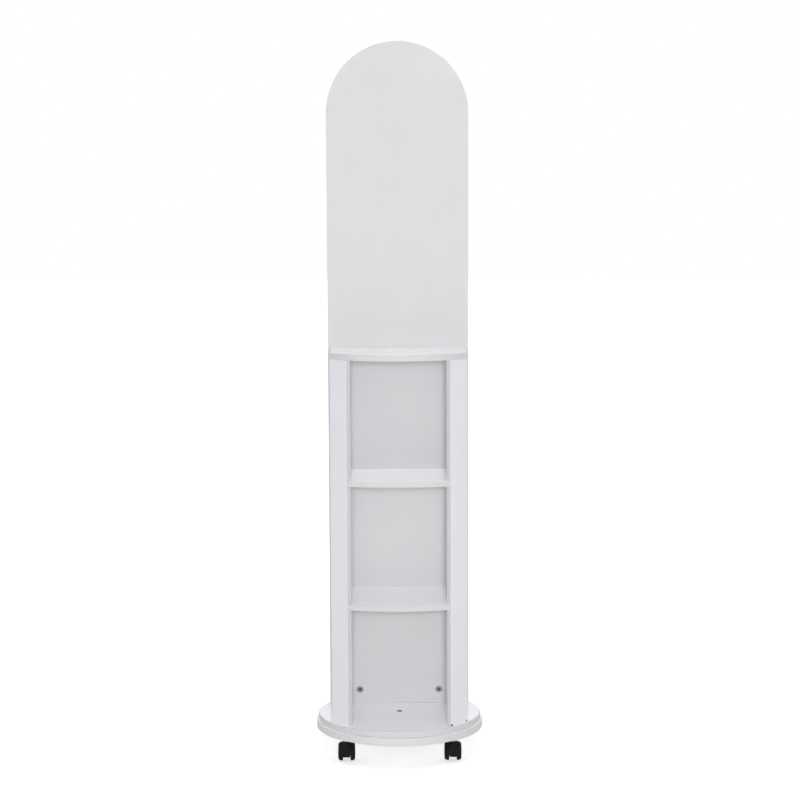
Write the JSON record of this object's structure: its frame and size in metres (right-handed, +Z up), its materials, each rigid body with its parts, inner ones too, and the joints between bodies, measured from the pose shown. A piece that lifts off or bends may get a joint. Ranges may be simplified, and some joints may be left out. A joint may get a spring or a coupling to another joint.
{
  "type": "rolling mirror with shelves",
  "caption": "Tall arched floor mirror on a round rolling base, with an open shelf tower with slanted front corners on its other side.",
  "frame": {"origin": "on the floor under the middle of the round base", "axes": "+Z up, the shelves face -Y, the mirror faces +Y, +X to the right of someone who faces the shelves"},
  "size_m": [0.4004, 0.4004, 1.7007],
  "materials": {
    "white_melamine": "satin white melamine on particle board",
    "mirror_glass": "silvered glass",
    "mounting_tape": "white foam tape",
    "black_nylon": "black moulded nylon",
    "black_tread": "black moulded nylon wheel",
    "zinc_alloy": "bare die-cast zinc",
    "bright_steel": "zinc-plated steel",
    "beech": "bare beech dowel"
  },
  "bodies": {
    "root": {"arched_board": "white_melamine", "mirror_glass": "mirror_glass", "mirror_tape_left": "mounting_tape", "mirror_tape_right": "mounting_tape", "base_lower_disc": "white_melamine", "base_upper_disc": "white_melamine", "base_screw_1": "bright_steel", "base_screw_2": "bright_steel", "base_screw_3": "bright_steel", "side_board_left": "white_melamine", "side_board_right": "white_melamine", "front_stile_left": "white_melamine", "front_stile_right": "white_melamine", "lower_shelf": "white_melamine", "upper_shelf": "white_melamine", "top_shelf": "white_melamine", "foot_dowel_left_front": "beech", "foot_dowel_left_back": "beech", "foot_dowel_right_front": "beech", "foot_dowel_right_back": "beech", "lower_shelf_dowel_left": "beech", "lower_shelf_dowel_right": "beech", "lower_shelf_dowel_back": "beech", "upper_shelf_dowel_left": "beech", "upper_shelf_dowel_right": "beech", "upper_shelf_dowel_back": "beech", "top_shelf_dowel_left": "beech", "top_shelf_dowel_right": "beech", "board_cam_left": "zinc_alloy", "board_cam_right": "zinc_alloy", "board_cam_bolt_left": "bright_steel", "board_cam_bolt_right": "bright_steel", "side_cam_left": "zinc_alloy", "side_cam_right": "zinc_alloy", "side_cam_bolt_left": "bright_steel", "side_cam_bolt_right": "bright_steel", "front_left_caster_insert": "bright_steel", "front_left_caster_stem": "bright_steel", "front_right_caster_insert": "bright_steel", "front_right_caster_stem": "bright_steel", "rear_left_caster_insert": "bright_steel", "rear_left_caster_stem": "bright_steel", "rear_right_caster_insert": "bright_steel", "rear_right_caster_stem": "bright_steel"},
    "front_left_caster": {"front_left_caster_hood": "black_nylon", "front_left_caster_axle": "bright_steel"},
    "front_left_caster_left_wheel": {"front_left_caster_left_wheel": "black_tread"},
    "front_left_caster_right_wheel": {"front_left_caster_right_wheel": "black_tread"},
    "front_right_caster": {"front_right_caster_hood": "black_nylon", "front_right_caster_axle": "bright_steel"},
    "front_right_caster_left_wheel": {"front_right_caster_left_wheel": "black_tread"},
    "front_right_caster_right_wheel": {"front_right_caster_right_wheel": "black_tread"},
    "rear_left_caster": {"rear_left_caster_hood": "black_nylon", "rear_left_caster_axle": "bright_steel"},
    "rear_left_caster_left_wheel": {"rear_left_caster_left_wheel": "black_tread"},
    "rear_left_caster_right_wheel": {"rear_left_caster_right_wheel": "black_tread"},
    "rear_right_caster": {"rear_right_caster_hood": "black_nylon", "rear_right_caster_axle": "bright_steel"},
    "rear_right_caster_left_wheel": {"rear_right_caster_left_wheel": "black_tread"},
    "rear_right_caster_right_wheel": {"rear_right_caster_right_wheel": "black_tread"}
  },
  "joints": [
    {"name": "front_left_swivel", "type": "hinge", "parent": "root", "child": "front_left_caster", "pos_m": [-0.12604, -0.12604, 0.05], "axis": [0, 0, 1], "continuous": true},
    {"name": "front_left_left_wheel_spin", "type": "hinge", "parent": "front_left_caster", "child": "front_left_caster_left_wheel", "pos_m": [-0.12604, -0.11104, 0.02], "axis": [1, 0, 0], "continuous": true},
    {"name": "front_left_right_wheel_spin", "type": "hinge", "parent": "front_left_caster", "child": "front_left_caster_right_wheel", "pos_m": [-0.12604, -0.11104, 0.02], "axis": [1, 0, 0], "continuous": true},
    {"name": "front_right_swivel", "type": "hinge", "parent": "root", "child": "front_right_caster", "pos_m": [0.12604, -0.12604, 0.05], "axis": [0, 0, 1], "continuous": true},
    {"name": "front_right_left_wheel_spin", "type": "hinge", "parent": "front_right_caster", "child": "front_right_caster_left_wheel", "pos_m": [0.12604, -0.11104, 0.02], "axis": [1, 0, 0], "continuous": true},
    {"name": "front_right_right_wheel_spin", "type": "hinge", "parent": "front_right_caster", "child": "front_right_caster_right_wheel", "pos_m": [0.12604, -0.11104, 0.02], "axis": [1, 0, 0], "continuous": true},
    {"name": "rear_left_swivel", "type": "hinge", "parent": "root", "child": "rear_left_caster", "pos_m": [-0.12604, 0.12604, 0.05], "axis": [0, 0, 1], "continuous": true},
    {"name": "rear_left_left_wheel_spin", "type": "hinge", "parent": "rear_left_caster", "child": "rear_left_caster_left_wheel", "pos_m": [-0.12604, 0.14104, 0.02], "axis": [1, 0, 0], "continuous": true},
    {"name": "rear_left_right_wheel_spin", "type": "hinge", "parent": "rear_left_caster", "child": "rear_left_caster_right_wheel", "pos_m": [-0.12604, 0.14104, 0.02], "axis": [1, 0, 0], "continuous": true},
    {"name": "rear_right_swivel", "type": "hinge", "parent": "root", "child": "rear_right_caster", "pos_m": [0.12604, 0.12604, 0.05], "axis": [0, 0, 1], "continuous": true},
    {"name": "rear_right_left_wheel_spin", "type": "hinge", "parent": "rear_right_caster", "child": "rear_right_caster_left_wheel", "pos_m": [0.12604, 0.14104, 0.02], "axis": [1, 0, 0], "continuous": true},
    {"name": "rear_right_right_wheel_spin", "type": "hinge", "parent": "rear_right_caster", "child": "rear_right_caster_right_wheel", "pos_m": [0.12604, 0.14104, 0.02], "axis": [1, 0, 0], "continuous": true}
  ]
}
